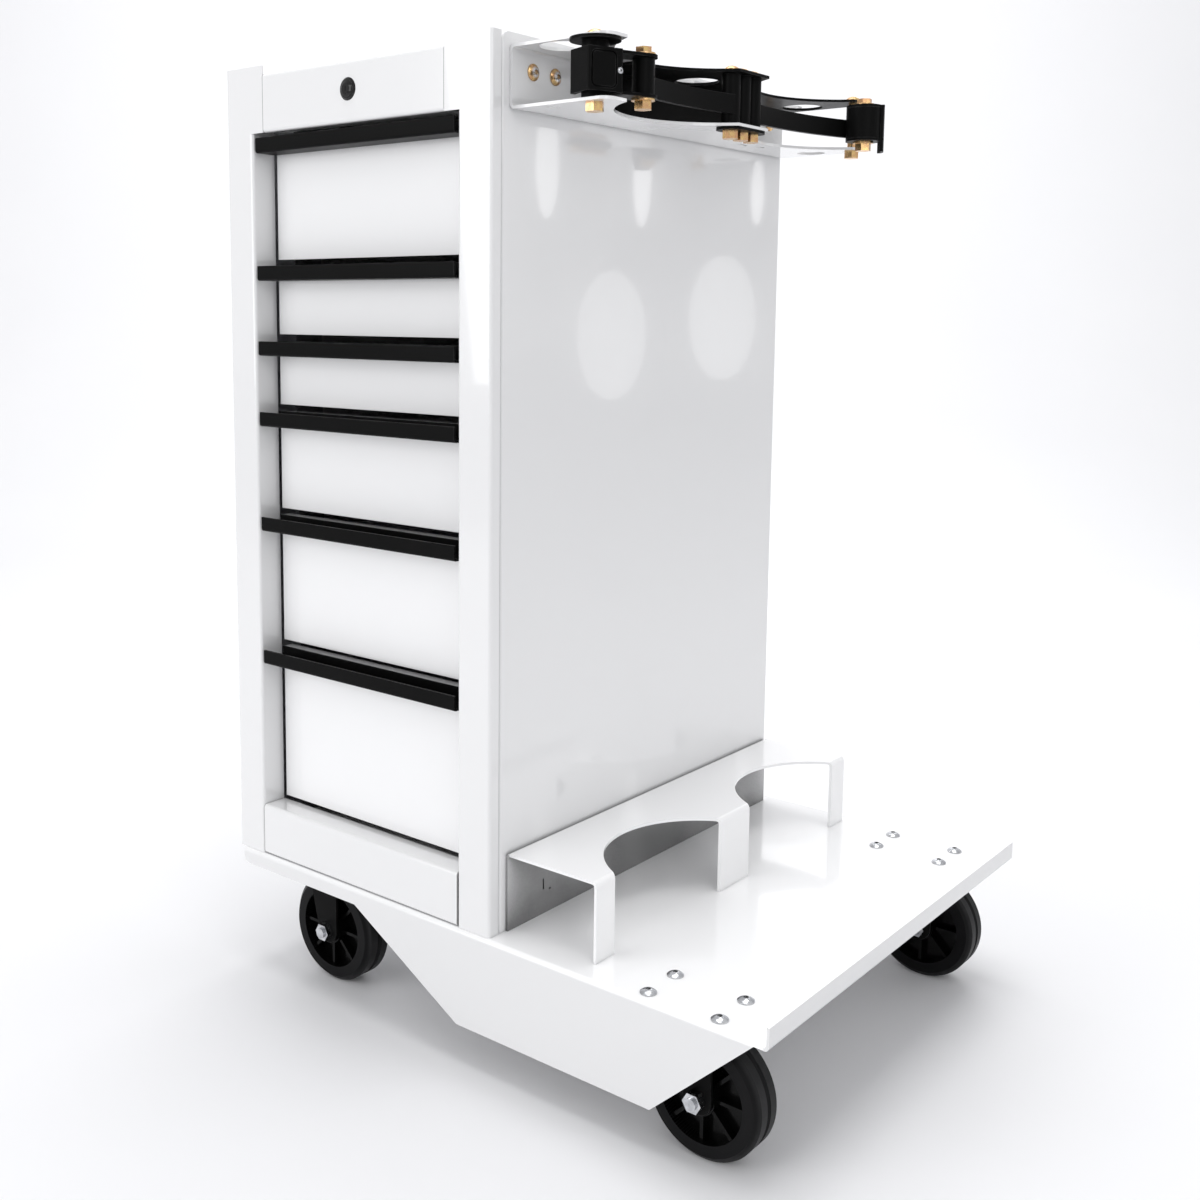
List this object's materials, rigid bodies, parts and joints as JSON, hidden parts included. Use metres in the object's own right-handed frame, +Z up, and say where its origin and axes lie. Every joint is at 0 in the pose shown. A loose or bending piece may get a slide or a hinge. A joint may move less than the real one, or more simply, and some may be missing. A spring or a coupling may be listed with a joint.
{
  "type": "dual tank cart",
  "caption": "Mobile workshop cart with a narrow drawer cabinet beside a low platform whose saddle and upper bracket hold two upright gas cylinders.",
  "frame": {"origin": "on the floor, under the middle of the cart's outer box", "axes": "+Z up, +X from the cabinet towards the cylinder platform, +Y from the drawer fronts to the back"},
  "size_m": [0.7376, 0.573, 1.0645],
  "materials": {
    "white_paint": "gloss powder coat",
    "black_paint": "satin powder coat",
    "black_moulding": "semi-gloss moulding",
    "zinc": "bright zinc plate",
    "gold_zinc": "yellow zinc plate",
    "slide_steel": "galvanised"
  },
  "bodies": {
    "cart": {"left_side_panel": "white_paint", "right_side_panel": "white_paint", "back_panel": "white_paint", "top_panel": "white_paint", "floor_panel": "white_paint", "left_stile": "white_paint", "right_stile": "white_paint", "top_rail": "white_paint", "bottom_rail": "white_paint", "slide_uprights": "slide_steel", "slide_rails": "slide_steel", "lock_barrel": "black_moulding", "base_deck": "white_paint", "tank_saddle": "white_paint", "deck_bolts": "zinc", "caster_plates": "black_paint", "rigid_legs": "black_paint", "rigid_axles": "zinc", "tank_bracket": "white_paint", "bracket_bolts": "gold_zinc", "gate_mount": "black_paint", "horn_spool": "black_paint", "horn_bolts": "gold_zinc"},
    "lock_plug": {"lock_plug": "black_moulding"},
    "drawer_1": {"drawer_1_tray": "white_paint", "drawer_1_pull": "black_paint", "drawer_1_runners": "slide_steel"},
    "drawer_2": {"drawer_2_tray": "white_paint", "drawer_2_pull": "black_paint", "drawer_2_runners": "slide_steel"},
    "drawer_3": {"drawer_3_tray": "white_paint", "drawer_3_pull": "black_paint", "drawer_3_runners": "slide_steel"},
    "drawer_4": {"drawer_4_tray": "white_paint", "drawer_4_pull": "black_paint", "drawer_4_runners": "slide_steel"},
    "drawer_5": {"drawer_5_tray": "white_paint", "drawer_5_pull": "black_paint", "drawer_5_runners": "slide_steel"},
    "drawer_6": {"drawer_6_tray": "white_paint", "drawer_6_pull": "black_paint", "drawer_6_runners": "slide_steel"},
    "front_swivel": {"front_swivel_fork": "black_paint", "front_swivel_axle": "zinc"},
    "rear_swivel": {"rear_swivel_fork": "black_paint", "rear_swivel_axle": "zinc"},
    "front_left_wheel": {"front_swivel_wheel": "black_moulding"},
    "rear_left_wheel": {"rear_swivel_wheel": "black_moulding"},
    "front_right_wheel": {"front_rigid_wheel": "black_moulding"},
    "rear_right_wheel": {"rear_rigid_wheel": "black_moulding"},
    "front_gate_arm": {"front_gate": "black_paint", "front_gate_bolt": "gold_zinc"},
    "front_latch": {"latch_block": "black_paint", "latch_screw": "zinc"},
    "rear_gate_arm": {"rear_gate": "black_paint", "rear_gate_bolt": "gold_zinc"},
    "rear_latch": {"latch_hook": "black_paint"}
  },
  "joints": [
    {"name": "lock_turn", "type": "hinge", "parent": "cart", "child": "lock_plug", "pos_m": [-0.16675, -0.2825, 1.02606], "axis": [0, -1, 0], "range_deg": [-90, 0]},
    {"name": "drawer_1_slide", "type": "slide", "parent": "cart", "child": "drawer_1", "axis": [0, -1, 0], "range_m": [0, 0.4]},
    {"name": "drawer_2_slide", "type": "slide", "parent": "cart", "child": "drawer_2", "axis": [0, -1, 0], "range_m": [0, 0.4]},
    {"name": "drawer_3_slide", "type": "slide", "parent": "cart", "child": "drawer_3", "axis": [0, -1, 0], "range_m": [0, 0.4]},
    {"name": "drawer_4_slide", "type": "slide", "parent": "cart", "child": "drawer_4", "axis": [0, -1, 0], "range_m": [0, 0.4]},
    {"name": "drawer_5_slide", "type": "slide", "parent": "cart", "child": "drawer_5", "axis": [0, -1, 0], "range_m": [0, 0.4]},
    {"name": "drawer_6_slide", "type": "slide", "parent": "cart", "child": "drawer_6", "axis": [0, -1, 0], "range_m": [0, 0.4]},
    {"name": "front_swivel_turn", "type": "hinge", "parent": "cart", "child": "front_swivel", "pos_m": [-0.26675, -0.2265, 0.1325], "axis": [0, 0, 1], "continuous": true},
    {"name": "front_left_wheel_roll", "type": "hinge", "parent": "front_swivel", "child": "front_left_wheel", "pos_m": [-0.24875, -0.2265, 0.0635], "axis": [0, 1, 0], "continuous": true},
    {"name": "rear_swivel_turn", "type": "hinge", "parent": "cart", "child": "rear_swivel", "pos_m": [-0.26675, 0.219, 0.1325], "axis": [0, 0, 1], "continuous": true},
    {"name": "rear_left_wheel_roll", "type": "hinge", "parent": "rear_swivel", "child": "rear_left_wheel", "pos_m": [-0.24875, 0.219, 0.0635], "axis": [0, 1, 0], "continuous": true},
    {"name": "front_right_wheel_roll", "type": "hinge", "parent": "cart", "child": "front_right_wheel", "pos_m": [0.28525, -0.2465, 0.0635], "axis": [0, 1, 0], "continuous": true},
    {"name": "rear_right_wheel_roll", "type": "hinge", "parent": "cart", "child": "rear_right_wheel", "pos_m": [0.28525, 0.239, 0.0635], "axis": [0, 1, 0], "continuous": true},
    {"name": "front_gate_swing", "type": "hinge", "parent": "cart", "child": "front_gate_arm", "pos_m": [0.13825, -0.01625, 1.0195], "axis": [0, 0, 1], "range_deg": [0, 75]},
    {"name": "front_latch_turn", "type": "hinge", "parent": "front_gate_arm", "child": "front_latch", "pos_m": [0.14825, -0.19096, 1.0195], "axis": [0, 0, 1], "range_deg": [0, 60]},
    {"name": "rear_gate_swing", "type": "hinge", "parent": "cart", "child": "rear_gate_arm", "pos_m": [0.13825, 0.02575, 1.0195], "axis": [0, 0, -1], "range_deg": [-10, 60]},
    {"name": "rear_latch_turn", "type": "hinge", "parent": "rear_gate_arm", "child": "rear_latch", "pos_m": [0.1873, 0.19374, 1.0195], "axis": [0, 0, -1], "range_deg": [-40, 60]}
  ]
}
